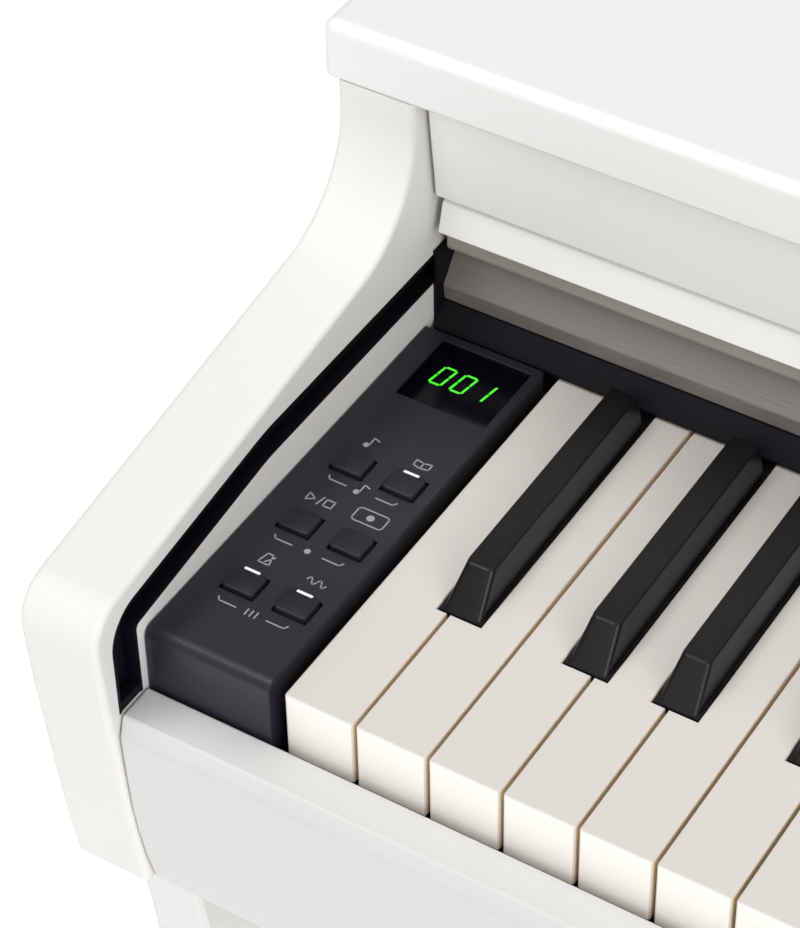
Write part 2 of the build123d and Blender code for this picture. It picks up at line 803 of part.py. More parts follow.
save(front_legs.part, "front_legs")

panel_front = case_back - side_panel_width
back_board_y = case_back - 24
pedal_board_y = panel_front + 40
back_board_top = bed_under - back_board_drop
back_board_low = back_board_top - back_board_height
pedal_board_top = pedal_board_rise + pedal_board_height
screw_inset = 30.0
screw_length = board_thickness + 14
screw_x = leg_inner - cleat / 2
back_screws = (back_board_low + screw_inset, back_board_top - screw_inset)
pedal_screws = (pedal_board_rise + screw_inset, pedal_board_top - screw_inset)
screw_places = [(back_board_y, z) for z in back_screws] + [(pedal_board_y, z) for z in pedal_screws]
with BuildPart() as left_panel:
    block((-leg_outer, -leg_inner), (panel_front, case_back), (foot_top, bed_under))
    for board_y, low, high in (
        (back_board_y, back_board_low, back_board_top),
        (pedal_board_y, pedal_board_rise, pedal_board_top),
    ):
        cleat_back = board_y - board_thickness
        block((-leg_inner, -leg_inner + cleat), (cleat_back - cleat, cleat_back), (low, high))
    for board_y, z in screw_places:
        rod(
            (-screw_x, board_y - board_thickness, z),
            screw_radius + screw_clearance,
            2 * (screw_length - board_thickness) + 2,
            "y",
            mode=Mode.SUBTRACT,
        )
with BuildPart() as side_panels:
    add(left_panel.part)
    add(mirrored(left_panel.part))
save(side_panels.part, "side_panels")


def stand_board(board_y, low, high):
    """A board between the side panels with screw holes through its ends."""
    with BuildPart() as board:
        block((-leg_inner, leg_inner), (board_y - board_thickness, board_y), (low, high))
        for place_y, z in screw_places:
            if place_y == board_y:
                for side in (-1, 1):
                    rod(
                        (side * screw_x, board_y, z),
                        screw_radius + screw_clearance,
                        4 * board_thickness,
                        "y",
                        mode=Mode.SUBTRACT,
                    )
    return board.part


save(stand_board(back_board_y, back_board_low, back_board_top), "stand_back_board")
save(stand_board(pedal_board_y, pedal_board_rise, pedal_board_top), "pedal_board")

with BuildPart() as stand_screws:
    for board_y, z in screw_places:
        for side in (-1, 1):
            head_y = board_y + screw_head_height / 2
            rod((side * screw_x, head_y, z), screw_head_radius, screw_head_height, "y")
            rod((side * screw_x, board_y - screw_length / 2, z), screw_radius, screw_length, "y")
save(stand_screws.part, "stand_screws")

foot_inner = leg_outer + 1.5 - foot_width
foot_front = leg_front - 22
with BuildPart() as left_foot:
    block((-leg_outer - 1.5, -foot_inner), (foot_front, case_back), (glide_height, foot_top))
    fillet(left_foot.edges().filter_by(Axis.X).filter_by_position(Axis.Z, foot_top - 1, foot_top + 1), 12)
    fillet(left_foot.faces().sort_by(Axis.Y)[0].edges().filter_by(Axis.Z), radius=3)
with BuildPart() as feet:
    add(left_foot.part)
    add(mirrored(left_foot.part))
save(feet.part, "feet")

with BuildPart() as glides:
    for side in (-1, 1):
        for glide_y in (foot_front + 30, case_back - 30):
            with Locations((side * (leg_outer + 1.5 - foot_width / 2), glide_y, glide_height / 2)):
                Cylinder(glide_radius, glide_height)
save(glides.part, "glides")

# ---- Pedals in their housing --------------------------------------------------
housing_back = pedal_board_y - board_thickness
housing_front = housing_back - housing_depth
housing_top = housing_rise + housing_height
rod_y = housing_back - 26
pedal_xs = (-pedal_pitch, 0, pedal_pitch)
slot_side = pedal_width / 2 + 2
pedal_drop = 26.0  # room below each pedal in its slot
with BuildPart() as pedal_housing:
    housing_sides = (-housing_width / 2, housing_width / 2)
    block(housing_sides, (housing_front, housing_back), (housing_rise, housing_top))
    fillet(pedal_housing.faces().sort_by(Axis.Y)[0].edges().filter_by(Axis.Z), radius=8)
    block(
        (-housing_width / 2 + housing_wall, housing_width / 2 - housing_wall),
        (housing_front + housing_wall, housing_back - housing_wall),
        (housing_rise + housing_wall, housing_top - housing_wall),
        mode=Mode.SUBTRACT,
    )
    for x in pedal_xs:
        block(
            (x - slot_side, x + slot_side),
            (housing_front - 1, housing_front + 2 * housing_wall),
            (pedal_rise - pedal_drop, pedal_rise + pedal_thickness),
            mode=Mode.SUBTRACT,
        )
    rod((0, rod_y - 34, housing_rise + 9), bolt_radius + 5, 18, "z")
    rod((0, rod_y - 34, housing_rise + 9), bolt_radius + bolt_clearance, 60, "z", mode=Mode.SUBTRACT)
    for side in (-1, 1):
        wall_x = side * housing_width / 2
        rod((wall_x, rod_y, pedal_rise), pedal_rod_radius, 4 * housing_wall, "x", Mode.SUBTRACT)
save(pedal_housing.part, "pedal_housing")

with BuildPart() as pedal_rod:
    rod((0, rod_y, pedal_rise), pedal_rod_radius, housing_width, "x")
save(pedal_rod.part, "pedal_rod")


def pedal(centre_x):
    """One pedal: a flat lever with a widened, rounded toe and an eye around the rod."""
    toe_y = housing_front - pedal_reach
    with BuildPart() as lever:
        with BuildSketch(Plane.XY.offset(pedal_rise - pedal_thickness / 2)):
            with Locations((centre_x, (rod_y + toe_y) / 2 + 20)):
                Rectangle(pedal_width - 6, rod_y - toe_y - 40)
            with Locations((centre_x, toe_y + 30)):
                Ellipse(pedal_width / 2, 30)
        extrude(amount=pedal_thickness)
        fillet(lever.faces().sort_by(Axis.Z)[-1].edges(), radius=1.6)
        rod((centre_x, rod_y, pedal_rise), pedal_rod_radius + 4, pedal_width - 6, "x")
        rod((centre_x, rod_y, pedal_rise), pedal_rod_radius + shaft_clearance, 60, "x", Mode.SUBTRACT)
    return lever.part


for pedal_name, x in zip(("soft_pedal", "middle_pedal", "damper_pedal"), pedal_xs):
    save(pedal(x), pedal_name)

with BuildPart() as adjuster_bolt:
    rod((0, rod_y - 34, bolt_foot_height / 2), bolt_foot_radius, bolt_foot_height, "z")
    fillet(adjuster_bolt.edges().group_by(Axis.Z)[-1], radius=2)
    rod((0, rod_y - 34, 18), bolt_radius, 34, "z")
save(adjuster_bolt.part, "adjuster_bolt")

# ---- Music rest on the top board ---------------------------------------------
rest_y = top_front + rest_front
rest_low = top_face + rest_gap
rest_high = rest_low + rest_thickness
rest_pin_z = top_face + rest_gap + rest_thickness / 2
stay_start = rest_y + stay_length + 6
window_half = stay_width / 2 + 1.5
rest_side = rest_width / 2
with BuildPart() as music_rest:
    block((-rest_side, rest_side), (rest_y - rest_nose, rest_y + rest_length), (rest_low, rest_high))
    fillet(music_rest.faces().sort_by(Axis.Y)[-1].edges().filter_by(Axis.Z), radius=10)
    block((-rest_side, rest_side), (rest_y - rest_nose, rest_y + 2), (rest_low, rest_high + rest_lip))
    for side in (-1, 1):
        block(
            (side * 200 - window_half, side * 200 + window_half),
            (stay_start - stay_swing, stay_start + stay_length + 5),
            (rest_low - 1, rest_high + 1),
            mode=Mode.SUBTRACT,
        )
        block(
            (side * rest_side - 12, side * rest_side + 12),
            (rest_y - 5, rest_y + 5),
            (rest_low - 1, rest_high + rest_lip + 1),
            mode=Mode.SUBTRACT,
        )
        rod((side * (rest_side - 9), rest_y, rest_pin_z), rest_pin_radius, 14, "x")
        rod((side * 200, stay_start, rest_pin_z), rest_pin_radius, 2 * window_half + 2, "x")
save(music_rest.part, "music_rest")

with BuildPart() as music_rest_hinges:
    for side in (-1, 1):
        near = side * (rest_side - 11)
        block((near, near + side * 10), (rest_y - 8, rest_y + 3), (top_face, rest_high))
        rod((near, rest_y, rest_pin_z), rest_pin_radius + shaft_clearance, 60, "x", Mode.SUBTRACT)
save(music_rest_hinges.part, "music_rest_hinges")

with BuildPart() as music_rest_stay:
    for side in (-1, 1):
        block(
            (side * 200 - stay_width / 2, side * 200 + stay_width / 2),
            (stay_start - 2.5, stay_start + stay_length),
            (rest_pin_z - stay_thickness / 2, rest_pin_z + stay_thickness / 2),
        )
        rod((side * 200, stay_start, rest_pin_z), 2.4, stay_width, "x")
    rod((0, stay_start, rest_pin_z), rest_pin_radius + shaft_clearance, rest_width, "x", Mode.SUBTRACT)
save(music_rest_stay.part, "music_rest_stay")
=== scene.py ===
# %% [markdown]
# # A white digital piano on its stand
# The design model is loaded first, as a fixed frame: it says where every part is and how it moves.
# Everything made below sits around those parts and reads its places from them, so nothing is fitted by eye.

# %% Load the frame
import json
import math

import bmesh
import bpy
from mathutils import Matrix, Vector


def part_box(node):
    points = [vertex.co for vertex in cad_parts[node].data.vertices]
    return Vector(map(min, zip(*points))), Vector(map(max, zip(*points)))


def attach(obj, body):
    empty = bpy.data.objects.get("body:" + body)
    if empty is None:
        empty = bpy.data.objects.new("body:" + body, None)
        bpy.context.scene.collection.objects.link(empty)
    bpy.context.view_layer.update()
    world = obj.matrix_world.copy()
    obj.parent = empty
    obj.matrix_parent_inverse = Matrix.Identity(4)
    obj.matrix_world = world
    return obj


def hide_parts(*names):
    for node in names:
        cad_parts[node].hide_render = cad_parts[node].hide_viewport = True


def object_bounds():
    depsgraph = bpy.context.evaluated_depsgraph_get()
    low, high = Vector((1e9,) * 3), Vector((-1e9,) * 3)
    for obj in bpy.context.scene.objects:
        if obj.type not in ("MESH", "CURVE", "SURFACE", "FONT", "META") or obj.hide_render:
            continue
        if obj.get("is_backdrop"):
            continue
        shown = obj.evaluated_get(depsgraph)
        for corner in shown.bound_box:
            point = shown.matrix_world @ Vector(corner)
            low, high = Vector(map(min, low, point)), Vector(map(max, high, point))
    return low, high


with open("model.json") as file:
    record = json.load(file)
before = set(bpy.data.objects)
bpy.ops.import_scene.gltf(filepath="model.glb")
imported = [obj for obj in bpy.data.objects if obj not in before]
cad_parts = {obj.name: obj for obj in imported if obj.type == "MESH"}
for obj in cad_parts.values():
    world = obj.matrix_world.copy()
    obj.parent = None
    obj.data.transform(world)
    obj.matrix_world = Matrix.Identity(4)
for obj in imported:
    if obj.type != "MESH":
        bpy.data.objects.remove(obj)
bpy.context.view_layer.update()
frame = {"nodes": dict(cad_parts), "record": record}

MM = 0.001
nodes = frame["nodes"]
node_body = {name: body for body, names in frame["record"]["behaviour"]["bodies"].items() for name in names}

# %% [markdown]
# ## Places on the keyboard
# A piano's other parts are set out from its keys, so two helpers measure from the white keys: how far behind their
# front edge, and how far above their tops. The lowest key gives both, and its neighbour gives the pitch of the keys.

# %% Measure from the keys
a_low, a_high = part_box("white_key_a0")
b_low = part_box("white_key_b0")[0]
KEY_PITCH = b_low.x - a_low.x
KEY_GAP = b_low.x - a_high.x
KEYS_LEFT = a_low.x - KEY_GAP / 2
KEY_FRONT, KEY_TOP = a_low.y, a_high.z


def back(distance):
    """A place this many millimetres behind the white keys' front edge."""
    return KEY_FRONT + distance * MM


def up(height):
    """A height this many millimetres above the white key tops."""
    return KEY_TOP + height * MM


print("key pitch", round(KEY_PITCH / MM, 2), "mm")

# %% [markdown]
# ## Camera
# The camera stands in front of the bass end and looks down over the panel and the lowest keys. A long lens keeps the
# lines of the case nearly parallel. Its direction is built from two angles and a slight roll, rather than typed in as
# a matrix, so each of them can be changed by itself.

# %% Set the camera
AZIMUTH, ELEVATION, ROLL = math.radians(32.78), math.radians(43.42), math.radians(-1.27)
LENS, SENSOR_WIDTH = 124.31, 36
eye = Vector((KEYS_LEFT + 355.15 * MM, back(-488.49), up(657.52)))
backward = Vector((
    math.sin(AZIMUTH) * math.cos(ELEVATION),
    -math.cos(AZIMUTH) * math.cos(ELEVATION),
    math.sin(ELEVATION),
))
right = Vector((0, 0, 1)).cross(backward).normalized()
upward = backward.cross(right)
rolled_right = right * math.cos(ROLL) + upward * math.sin(ROLL)
rolled_up = upward * math.cos(ROLL) - right * math.sin(ROLL)
camera_data = bpy.data.cameras.new("camera")
camera_data.sensor_width = SENSOR_WIDTH
camera_data.lens = LENS
camera = bpy.data.objects.new("camera", camera_data)
turn = Matrix((rolled_right, rolled_up, backward)).transposed().to_4x4()
camera.matrix_world = Matrix.Translation(eye) @ turn
bpy.context.scene.collection.objects.link(camera)
bpy.context.scene.camera = camera
print("camera at", [round(v, 3) for v in eye])

# %% [markdown]
# ## Studio
# A studio has a sky that fills in everywhere. One brightness would do, but glossy black key tops mirror whatever is
# behind the instrument, and would turn grey. So the sky is bright in front and dim behind, by a map of its direction.

# %% Light the world
SKY_FRONT, SKY_BEHIND = 0.72, 0.22
bpy.context.scene.view_settings.view_transform = "Standard"
world = bpy.data.worlds.new("studio")
bpy.context.scene.world = world
world.use_nodes = True
sky = world.node_tree.nodes["Background"]
sky.inputs["Color"].default_value = (0.985, 0.99, 1.0, 1)
sky_direction = world.node_tree.nodes.new("ShaderNodeTexCoord")
sky_axes = world.node_tree.nodes.new("ShaderNodeSeparateXYZ")
sky_dimming = world.node_tree.nodes.new("ShaderNodeMapRange")
sky_dimming.interpolation_type = "SMOOTHSTEP"
sky_dimming.inputs["From Min"].default_value = -0.35
sky_dimming.inputs["From Max"].default_value = 0.6
sky_dimming.inputs["To Min"].default_value = SKY_FRONT
sky_dimming.inputs["To Max"].default_value = SKY_BEHIND
world.node_tree.links.new(sky_direction.outputs["Generated"], sky_axes.inputs[0])
world.node_tree.links.new(sky_axes.outputs["Y"], sky_dimming.inputs["Value"])
world.node_tree.links.new(sky_dimming.outputs[0], sky.inputs["Strength"])
print("sky strength", SKY_FRONT, "to", SKY_BEHIND)

# %% [markdown]
# The instrument stands on a plain pale floor. One large square is enough: a floor needs no thickness, because only
# its upper side is ever seen.

# %% Lay the floor
FLOOR_HALF_WIDTH = 9
floor_mesh = bpy.data.meshes.new("floor")
floor_shape = bmesh.new()
bmesh.ops.create_grid(floor_shape, x_segments=1, y_segments=1, size=FLOOR_HALF_WIDTH)
floor_shape.to_mesh(floor_mesh)
floor_shape.free()
floor = bpy.data.objects.new("floor", floor_mesh)
bpy.context.scene.collection.objects.link(floor)
floor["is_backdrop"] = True
print("floor", 2 * FLOOR_HALF_WIDTH, "m wide")

# %% [markdown]
# White furniture on a white ground needs soft light, or its edges vanish. A broad panel overhead makes the top board
# the brightest plane. A smaller one hangs at the front left, where the rounded rims of the black keys mirror it as
# thin bright lines. One in front and one at the right open the shadows of the fronts and of the bass end's inner face.

# %% Hang the lights
def soft_light(name, place, target, size, power, colour):
    """A square studio panel that faces a point."""
    data = bpy.data.lights.new(name, "AREA")
    data.shape = "SQUARE"
    data.size = size
    data.energy = power
    data.color = colour
    lamp = bpy.data.objects.new(name, data)
    lamp.location = place
    aim = Vector(target) - Vector(place)
    lamp.rotation_euler = aim.to_track_quat("-Z", "Y").to_euler()
    bpy.context.scene.collection.objects.link(lamp)
    return lamp


soft_light("overhead", (-0.9, 0.1, 3.3), (-0.4, 0, 0.7), 2.2, 26, (1.0, 1.0, 1.0))
soft_light("key", (-1.65, -1.1, 3.2), (-0.5, -0.1, 0.74), 0.9, 17, (1.0, 0.995, 0.99))
soft_light("front", (-0.7, -2.9, 3.0), (-0.5, 0, 0.75), 2.2, 14, (1.0, 0.99, 0.98))
soft_light("right_fill", (2.2, -1.6, 1.9), (-0.6, 0, 0.75), 2.0, 48, (1.0, 0.97, 0.94))

# %% [markdown]
# ## Shared effects
# Two effects come back in many finishes, so each is a node group made once. The first is a stretched noise for grain:
# wood under paint, brushed lines and the fine texture of moulded plastic differ only in its stretch and scale.

# %% Grain group
def group_with(name, inputs, outputs):
    """A shader node group with its sockets and its two end nodes."""
    tree = bpy.data.node_groups.new(name, "ShaderNodeTree")
    for label, kind, value in inputs:
        socket = tree.interface.new_socket(label, in_out="INPUT", socket_type=kind)
        if value is not None:
            socket.default_value = value
    for label, kind in outputs:
        tree.interface.new_socket(label, in_out="OUTPUT", socket_type=kind)
    start = tree.nodes.new("NodeGroupInput")
    end = tree.nodes.new("NodeGroupOutput")
    return tree, start, end


grain, grain_in, grain_out = group_with(
    "grain",
    [
        ("Vector", "NodeSocketVector", None),
        ("Stretch", "NodeSocketVector", (1.0, 1.0, 1.0)),
        ("Scale", "NodeSocketFloat", 400.0),
        ("Detail", "NodeSocketFloat", 3.0),
    ],
    [("Height", "NodeSocketFloat")],
)
grain_stretch = grain.nodes.new("ShaderNodeVectorMath")
grain_stretch.operation = "MULTIPLY"
grain_noise = grain.nodes.new("ShaderNodeTexNoise")
grain.links.new(grain_in.outputs["Vector"], grain_stretch.inputs[0])
grain.links.new(grain_in.outputs["Stretch"], grain_stretch.inputs[1])
grain.links.new(grain_stretch.outputs[0], grain_noise.inputs["Vector"])
grain.links.new(grain_in.outputs["Scale"], grain_noise.inputs["Scale"])
grain.links.new(grain_in.outputs["Detail"], grain_noise.inputs["Detail"])
grain.links.new(grain_noise.outputs["Fac"], grain_out.inputs["Height"])
print("group:", grain.name)

# %% [markdown]
# The second effect mixes two close colours and two degrees of gloss by a slow noise, as handling and light dust do.
# A painted mask could say where hands go, but slow patches suit every part and need no map.

# %% Handling group
handling, handling_in, handling_out = group_with(
    "handling",
    [
        ("Vector", "NodeSocketVector", None),
        ("Scale", "NodeSocketFloat", 6.0),
        ("Clean Color", "NodeSocketColor", (0.8, 0.8, 0.8, 1)),
        ("Worn Color", "NodeSocketColor", (0.75, 0.75, 0.75, 1)),
        ("Clean Roughness", "NodeSocketFloat", 0.4),
        ("Worn Roughness", "NodeSocketFloat", 0.5),
    ],
    [("Color", "NodeSocketColor"), ("Roughness", "NodeSocketFloat")],
)
patch = handling.nodes.new("ShaderNodeTexNoise")
patch.inputs["Detail"].default_value = 4
spread = handling.nodes.new("ShaderNodeMapRange")
spread.inputs["From Min"].default_value = 0.35
spread.inputs["From Max"].default_value = 0.68
tint = handling.nodes.new("ShaderNodeMix")
tint.data_type = "RGBA"
gloss = handling.nodes.new("ShaderNodeMapRange")
handling.links.new(handling_in.outputs["Vector"], patch.inputs["Vector"])
handling.links.new(handling_in.outputs["Scale"], patch.inputs["Scale"])
handling.links.new(patch.outputs["Fac"], spread.inputs["Value"])
handling.links.new(spread.outputs[0], tint.inputs["Factor"])
handling.links.new(handling_in.outputs["Clean Color"], tint.inputs[6])
handling.links.new(handling_in.outputs["Worn Color"], tint.inputs[7])
handling.links.new(spread.outputs[0], gloss.inputs["Value"])
handling.links.new(handling_in.outputs["Clean Roughness"], gloss.inputs["To Min"])
handling.links.new(handling_in.outputs["Worn Roughness"], gloss.inputs["To Max"])
handling.links.new(tint.outputs[2], handling_out.inputs["Color"])
handling.links.new(gloss.outputs[0], handling_out.inputs["Roughness"])
print("group:", handling.name)

# %% [markdown]
# ## Finishes
# One helper builds a finish from both groups: slow patches drive colour and gloss, fine grain drives a bump.
# What is the same all over a surface, such as metalness or a clear coat, is set on the shader itself.

# %% The finish helper
def finish(name, clean, worn, rough, stretch, scale, bump, depth=0.0002, patches=6, **fixed):
    """A material: two close colours, two degrees of gloss, a grain and constants of the shader."""
    material = bpy.data.materials.new(name)
    material.use_nodes = True
    tree = material.node_tree
    shader = tree.nodes["Principled BSDF"]
    coords = tree.nodes.new("ShaderNodeTexCoord")
    hand = tree.nodes.new("ShaderNodeGroup")
    hand.node_tree = handling
    hand.inputs["Scale"].default_value = patches
    hand.inputs["Clean Color"].default_value = (*clean, 1)
    hand.inputs["Worn Color"].default_value = (*worn, 1)
    hand.inputs["Clean Roughness"].default_value = rough[0]
    hand.inputs["Worn Roughness"].default_value = rough[1]
    texture = tree.nodes.new("ShaderNodeGroup")
    texture.node_tree = grain
    texture.inputs["Stretch"].default_value = stretch
    texture.inputs["Scale"].default_value = scale
    relief = tree.nodes.new("ShaderNodeBump")
    relief.inputs["Strength"].default_value = bump
    relief.inputs["Distance"].default_value = depth
    tree.links.new(coords.outputs["Object"], hand.inputs["Vector"])
    tree.links.new(coords.outputs["Object"], texture.inputs["Vector"])
    tree.links.new(texture.outputs["Height"], relief.inputs["Height"])
    tree.links.new(relief.outputs["Normal"], shader.inputs["Normal"])
    tree.links.new(hand.outputs["Color"], shader.inputs["Base Color"])
    tree.links.new(hand.outputs["Roughness"], shader.inputs["Roughness"])
    for socket, value in fixed.items():
        shader.inputs[socket.replace("_", " ")].default_value = value
    return material


print("a finish takes its grain from", grain.name, "and its patches from", handling.name)

# %% [markdown]
# The case is board with a satin white film, whose faint grain runs along each board. There are several whites, which
# differ in the direction of the grain: along the instrument, up the legs and side panels, and along the arms and feet.
# They also differ in tone, which is painted light and shade: each part's white is lighter or darker by how bright that
# part should look. The key slip's is the greyest, as painted shade on a moulding that faces the light.

# %% White finishes
SATIN = dict(scale=700, bump=0.3, depth=0.00025, patches=3, Specular_IOR_Level=0.35)
ALONG, UPWARD, ENDWAYS = (0.08, 1, 1), (1, 0.5, 0.08), (1, 0.1, 0.6)
white_long = finish("satin_white_long", (0.765, 0.77, 0.76), (0.74, 0.743, 0.73), (0.46, 0.54), ALONG, **SATIN)
# The panel's white is the lightest: painted light where the top board's overhang shades it.
white_panel_painted_light = finish("satin_white_panel", (0.83, 0.83, 0.815), (0.81, 0.808, 0.792), (0.46, 0.54), ALONG, **SATIN)
# The legs, side panels, arms and feet are a little darker than the long boards: painted shade.
white_upright = finish("satin_white_upright", (0.70, 0.70, 0.69), (0.675, 0.672, 0.662), (0.46, 0.54), UPWARD, **SATIN)
white_end = finish("satin_white_end", (0.725, 0.718, 0.70), (0.70, 0.693, 0.675), (0.48, 0.56), ENDWAYS, **SATIN)
# The slip's white is the greyest: painted shade that tones down a front which faces the light.
white_slip_painted_shade = finish("satin_white_slip", (0.625, 0.62, 0.61), (0.605, 0.60, 0.59), (0.46, 0.54), ALONG, **SATIN)
print("materials, with the design's own:", len(bpy.data.materials))

# %% [markdown]
# The key bed and the back are plain board, rougher than the film. The nameboard and the cover's grip are brushed in
# one direction, which a grain stretched twentyfold along the instrument gives. The trim is a dull black moulding:
# its mirror strength is set low, or the white case in it would make it grey.

# %% Board and trim finishes
EVEN, BRUSHED = (1, 1, 1), (0.05, 1, 1)
raw_white = finish("backing_board", (0.70, 0.69, 0.67), (0.64, 0.63, 0.61), (0.6, 0.75), (0.1, 1, 1), 500, 0.4)
taupe = finish("brushed_taupe", (0.205, 0.185, 0.168), (0.18, 0.162, 0.147), (0.4, 0.48), BRUSHED, 1500, 0.6, 0.0003, 8,
               Metallic=0.15)
# The grip's taupe is lighter than the nameboard's: painted light, because the cover's lip shades the grip.
grip_taupe_painted_light = finish("grip_taupe", (0.365, 0.338, 0.306), (0.33, 0.303, 0.275), (0.45, 0.55), BRUSHED, 1500, 0.4,
                     patches=8)
black_trim = finish("black_trim", (0.0025, 0.0025, 0.0055), (0.0035, 0.0035, 0.0065), (0.5, 0.62), EVEN, 900, 0.2,
                    Specular_IOR_Level=0.16)
print("materials, with the design's own:", len(bpy.data.materials))

# %% [markdown]
# Keys are moulded. The white ones are a warm ivory with hardly any texture and a soft clear shine; their lower fronts
# are painted a lighter cream, which is painted light from the front. The black ones are matte charcoal. The panel
# beside them is satin, with a very fine sparkle.

# %% Key and panel finishes
ivory = finish("ivory_plastic", (0.63, 0.597, 0.56), (0.62, 0.586, 0.547), (0.30, 0.33), (1, 0.3, 1), 900, 0.04,
               0.0001, 4, Coat_Weight=0.12, Coat_Roughness=0.2, Subsurface_Weight=0.05, Subsurface_Scale=0.002)
ebony = finish("ebony_plastic", (0.0035, 0.0035, 0.0055), (0.0045, 0.0045, 0.0065), (0.28, 0.36), (1, 0.25, 1),
               1500, 0.08, 0.0001, 20, Specular_IOR_Level=0.24)
charcoal = finish("charcoal_panel", (0.0135, 0.0125, 0.0195), (0.0165, 0.0155, 0.023), (0.34, 0.42), EVEN,
                  2600, 0.5, 0.0001, 14, Specular_IOR_Level=0.32)
button_black = finish("button_rubber", (0.0075, 0.0075, 0.0125), (0.0095, 0.0095, 0.015), (0.42, 0.5), EVEN,
                      2600, 0.25, 0.00006, 30, Specular_IOR_Level=0.34)
smoked = finish("smoked_window", (0.0012, 0.0012, 0.003), (0.0016, 0.0016, 0.004), (0.06, 0.1), EVEN,
                300, 0.02, 0.0001, 20, Specular_IOR_Level=0.2)
print("materials, with the design's own:", len(bpy.data.materials))

# %% [markdown]
# Between two white keys only a hair of light gets in, and it picks up the warm colour of the sides and the wood
# below, so the faces that look sideways are painted tan: painted shade with warm bounce light. The lower fronts are
# painted a lighter cream than the tops: painted light from the front. Both masks come from the surface's own normal,
# one from its X part and one from its Y part.

# %% Paint shade on the sides and light on the fronts of the white keys
ivory_tree = ivory.node_tree
surface = ivory_tree.nodes.new("ShaderNodeTexCoord")
axes = ivory_tree.nodes.new("ShaderNodeSeparateXYZ")
ivory_tree.links.new(surface.outputs["Normal"], axes.inputs[0])
ivory_color = ivory_tree.nodes["Principled BSDF"].inputs["Base Color"]
# Faces that look sideways get painted shade in warm tan; faces that look forward or back get painted light in pale
# cream.
for axis, color in (("X", (0.78, 0.65, 0.49, 1)), ("Y", (0.90, 0.865, 0.815, 1))):
    facing = ivory_tree.nodes.new("ShaderNodeMath")
    facing.operation = "ABSOLUTE"
    only_these = ivory_tree.nodes.new("ShaderNodeMapRange")
    only_these.inputs["From Min"].default_value = 0.8
    only_these.inputs["From Max"].default_value = 0.97
    painted_light_and_shade = ivory_tree.nodes.new("ShaderNodeMix")
    painted_light_and_shade.data_type = "RGBA"
    painted_light_and_shade.inputs[7].default_value = color
    ivory_tree.links.new(axes.outputs[axis], facing.inputs[0])
    ivory_tree.links.new(facing.outputs[0], only_these.inputs["Value"])
    ivory_tree.links.new(only_these.outputs[0], painted_light_and_shade.inputs["Factor"])
    ivory_tree.links.new(ivory_color.links[0].from_socket, painted_light_and_shade.inputs[6])
    ivory_tree.links.new(painted_light_and_shade.outputs[2], ivory_color)
print("ivory has tan sides and cream fronts")

# %% [markdown]
# The screws, shafts and stays are plain drawn steel, and the pedals are plated, so they are much smoother. Circuit
# boards and speaker cones sit inside and still get finishes of their own, because they show when the case is opened.
# The floor sends out a little light of its own, which keeps it paper white without a stronger lamp.

# %% Metal, inside and floor finishes
steel = finish("plain_steel", (0.56, 0.57, 0.58), (0.48, 0.49, 0.5), (0.28, 0.42), (0.1, 1, 1), 1200, 0.2, 0.0001, 30,
               Metallic=1.0)
pedal_chrome = finish("pedal_plating", (0.80, 0.78, 0.74), (0.72, 0.70, 0.66), (0.12, 0.22), (1, 0.2, 1), 600, 0.05,
                      0.0001, 20, Metallic=1.0)
circuit = finish("circuit_green", (0.02, 0.11, 0.05), (0.03, 0.14, 0.06), (0.4, 0.5), EVEN, 800, 0.3)
cone_paper = finish("cone_paper", (0.02, 0.02, 0.02), (0.03, 0.03, 0.03), (0.7, 0.85), EVEN, 900, 0.4)
ground = finish("studio_floor", (0.93, 0.93, 0.935), (0.92, 0.92, 0.925), (0.6, 0.7), EVEN, 60, 0.02, 0.0005, 2,
                Emission_Color=(1, 1, 1, 1), Emission_Strength=0.3)
floor.data.materials.append(ground)
print("materials, with the design's own:", len(bpy.data.materials))

# %% [markdown]
# Display bars and lamps give light, and printed marks are made the same way with next to none. A flat colour would
# look like a sticker, so a fine noise dims parts of it by a fifth.

# %% Lit and printed marks
NOISE_DIMMING = 0.82


def glow(name, colour, strength):
    """A lit mark: a plain body colour with light of its own."""
    material = bpy.data.materials.new(name)
    material.use_nodes = True
    shader = material.node_tree.nodes["Principled BSDF"]
    coords = material.node_tree.nodes.new("ShaderNodeTexCoord")
    noise = material.node_tree.nodes.new("ShaderNodeTexNoise")
    ramp = material.node_tree.nodes.new("ShaderNodeValToRGB")
    noise.inputs["Scale"].default_value = 900
    dim = [c * NOISE_DIMMING for c in colour]
    ramp.color_ramp.elements[0].color = (*dim, 1)
    ramp.color_ramp.elements[1].color = (*colour, 1)
    material.node_tree.links.new(coords.outputs["Object"], noise.inputs["Vector"])
    material.node_tree.links.new(noise.outputs["Fac"], ramp.inputs["Fac"])
    material.node_tree.links.new(ramp.outputs["Color"], shader.inputs["Emission Color"])
    material.node_tree.links.new(ramp.outputs["Color"], shader.inputs["Base Color"])
    shader.inputs["Emission Strength"].default_value = strength
    shader.inputs["Roughness"].default_value = 0.4
    return material


segment_green = glow("segment_green", (0.05, 0.66, 0.02), 0.8)
lamp_white = glow("lamp_white", (0.72, 0.72, 0.76), 0.35)
print_grey = glow("printed_grey", (0.30, 0.31, 0.335), 0.05)
print("materials, with the design's own:", len(bpy.data.materials))

# %% [markdown]
# ## Boards with eased edges
# No board has a truly sharp edge: film and paint round it by half a millimetre or more, and that thin line of light
# is what makes furniture look real. Each case part is copied from the design model, its loose triangles are merged,
# and a Bevel modifier rounds only its sharp edges. The copy then stands for the original.


def new_piece(name, shape, material, body):
    """Turn a finished bmesh into an object that rides on a body."""
    mesh = bpy.data.meshes.new(name)
    shape.to_mesh(mesh)
    shape.free()
    mesh.materials.append(material)
    piece = bpy.data.objects.new(name, mesh)
    bpy.context.scene.collection.objects.link(piece)
    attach(piece, body)
    return piece


